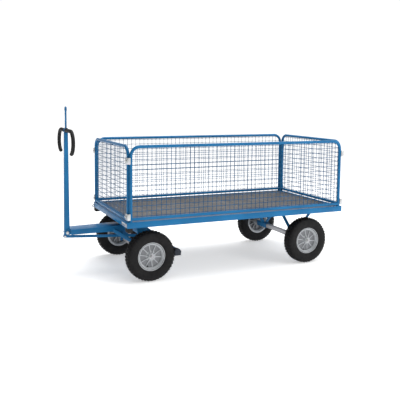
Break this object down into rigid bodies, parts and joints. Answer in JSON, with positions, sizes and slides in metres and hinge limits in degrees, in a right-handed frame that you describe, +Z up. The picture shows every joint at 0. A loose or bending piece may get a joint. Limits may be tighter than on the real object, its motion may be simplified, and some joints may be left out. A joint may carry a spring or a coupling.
{
  "type": "platform trolley",
  "caption": "Hand platform wagon with turntable steering, tilting drawbar with horn grips and tow eye, drawbar-operated wheel brake and lift-out wire mesh walls.",
  "frame": {"origin": "on the floor, in the middle of the whole object's bounding box", "axes": "+Z up, +X towards the rear, the drawbar is at -X, +Y is the left side as seen by somebody who walks in front and pulls"},
  "size_m": [2.3966, 1.0078, 1.366],
  "materials": {
    "blue_paint": "gloss enamel",
    "zinc": "zinc plated",
    "bare_steel": "satin",
    "deck": "phenolic anti-slip film",
    "mesh_paint": "gloss enamel",
    "rim_paint": "satin silver",
    "tyre_rubber": "matte",
    "black_rubber": "matte",
    "cast_shoe": "matte",
    "polymer": "matte"
  },
  "bodies": {
    "platform": {"rail_right": "blue_paint", "rail_left": "blue_paint", "rail_front": "blue_paint", "rail_rear": "blue_paint", "cross_members": "blue_paint", "deck_board": "deck", "deck_screws": "zinc", "wall_sockets": "zinc", "corner_buffers": "black_rubber", "data_plate": "zinc", "lashing_eye": "zinc", "turntable_upper": "blue_paint", "king_bolt": "zinc", "rear_axle": "bare_steel", "rear_axle_sleeves": "blue_paint", "rear_axle_nuts": "zinc", "rear_struts": "blue_paint"},
    "bogie": {"slide_ring": "polymer", "turntable_lower": "blue_paint", "bogie_beam": "blue_paint", "bogie_cheeks": "blue_paint", "front_axle": "bare_steel", "front_axle_nuts": "zinc", "tongue": "blue_paint", "bogie_braces": "blue_paint", "pivot_bolt": "zinc", "brake_brackets": "blue_paint"},
    "brake_cross_shaft": {"brake_shaft": "blue_paint", "brake_shoes": "cast_shoe"},
    "brake_link": {"brake_rod": "blue_paint", "rod_pin": "zinc"},
    "drawbar": {"drawbar_post": "blue_paint", "horn_tube": "blue_paint", "grip_left": "black_rubber", "grip_right": "black_rubber", "tow_eye": "blue_paint"},
    "wheel_front_right": {"tyre_front_right": "tyre_rubber", "rim_front_right": "rim_paint", "bearings_front_right": "bare_steel"},
    "wheel_front_left": {"tyre_front_left": "tyre_rubber", "rim_front_left": "rim_paint", "bearings_front_left": "bare_steel"},
    "wheel_rear_right": {"tyre_rear_right": "tyre_rubber", "rim_rear_right": "rim_paint", "bearings_rear_right": "bare_steel"},
    "wheel_rear_left": {"tyre_rear_left": "tyre_rubber", "rim_rear_left": "rim_paint", "bearings_rear_left": "bare_steel"},
    "wall_right": {"frame_right": "blue_paint", "mesh_right": "mesh_paint"},
    "wall_left": {"frame_left": "blue_paint", "mesh_left": "mesh_paint"},
    "wall_front": {"frame_front": "blue_paint", "mesh_front": "mesh_paint", "clips_front": "zinc", "clip_bolts_front": "zinc"},
    "wall_rear": {"frame_rear": "blue_paint", "mesh_rear": "mesh_paint", "clips_rear": "zinc", "clip_bolts_rear": "zinc"}
  },
  "joints": [
    {"name": "steering", "type": "hinge", "parent": "platform", "child": "bogie", "pos_m": [-0.605, 0, 0.43], "axis": [0, 0, 1], "range_deg": [-60, 60]},
    {"name": "drawbar_tilt", "type": "hinge", "parent": "bogie", "child": "drawbar", "pos_m": [-1.17, 0, 0.345], "axis": [0, -1, 0], "range_deg": [0, 105]},
    {"name": "rod_swing", "type": "hinge", "parent": "drawbar", "child": "brake_link", "pos_m": [-1.186, 0, 0.31], "axis": [0, -1, 0], "range_deg": [-105, 0]},
    {"name": "brake_turn", "type": "hinge", "parent": "bogie", "child": "brake_cross_shaft", "pos_m": [-0.375, 0, 0.224], "axis": [0, -1, 0], "range_deg": [0, 105]},
    {"name": "spin_front_right", "type": "hinge", "parent": "bogie", "child": "wheel_front_right", "pos_m": [-0.605, -0.4275, 0.2], "axis": [0, 1, 0], "continuous": true},
    {"name": "spin_front_left", "type": "hinge", "parent": "bogie", "child": "wheel_front_left", "pos_m": [-0.605, 0.4275, 0.2], "axis": [0, 1, 0], "continuous": true},
    {"name": "spin_rear_right", "type": "hinge", "parent": "platform", "child": "wheel_rear_right", "pos_m": [0.854, -0.4275, 0.2], "axis": [0, 1, 0], "continuous": true},
    {"name": "spin_rear_left", "type": "hinge", "parent": "platform", "child": "wheel_rear_left", "pos_m": [0.854, 0.4275, 0.2], "axis": [0, 1, 0], "continuous": true},
    {"name": "lift_right", "type": "slide", "parent": "platform", "child": "wall_right", "axis": [0, 0, 1], "range_m": [0, 0.1]},
    {"name": "lift_left", "type": "slide", "parent": "platform", "child": "wall_left", "axis": [0, 0, 1], "range_m": [0, 0.1]},
    {"name": "lift_front", "type": "slide", "parent": "platform", "child": "wall_front", "axis": [0, 0, 1], "range_m": [0, 0.1]},
    {"name": "lift_rear", "type": "slide", "parent": "platform", "child": "wall_rear", "axis": [0, 0, 1], "range_m": [0, 0.1]}
  ],
  "couplings": [
    {"joint": "rod_swing", "follows": "drawbar_tilt", "ratio": -1},
    {"joint": "brake_turn", "follows": "drawbar_tilt", "ratio": 1}
  ]
}
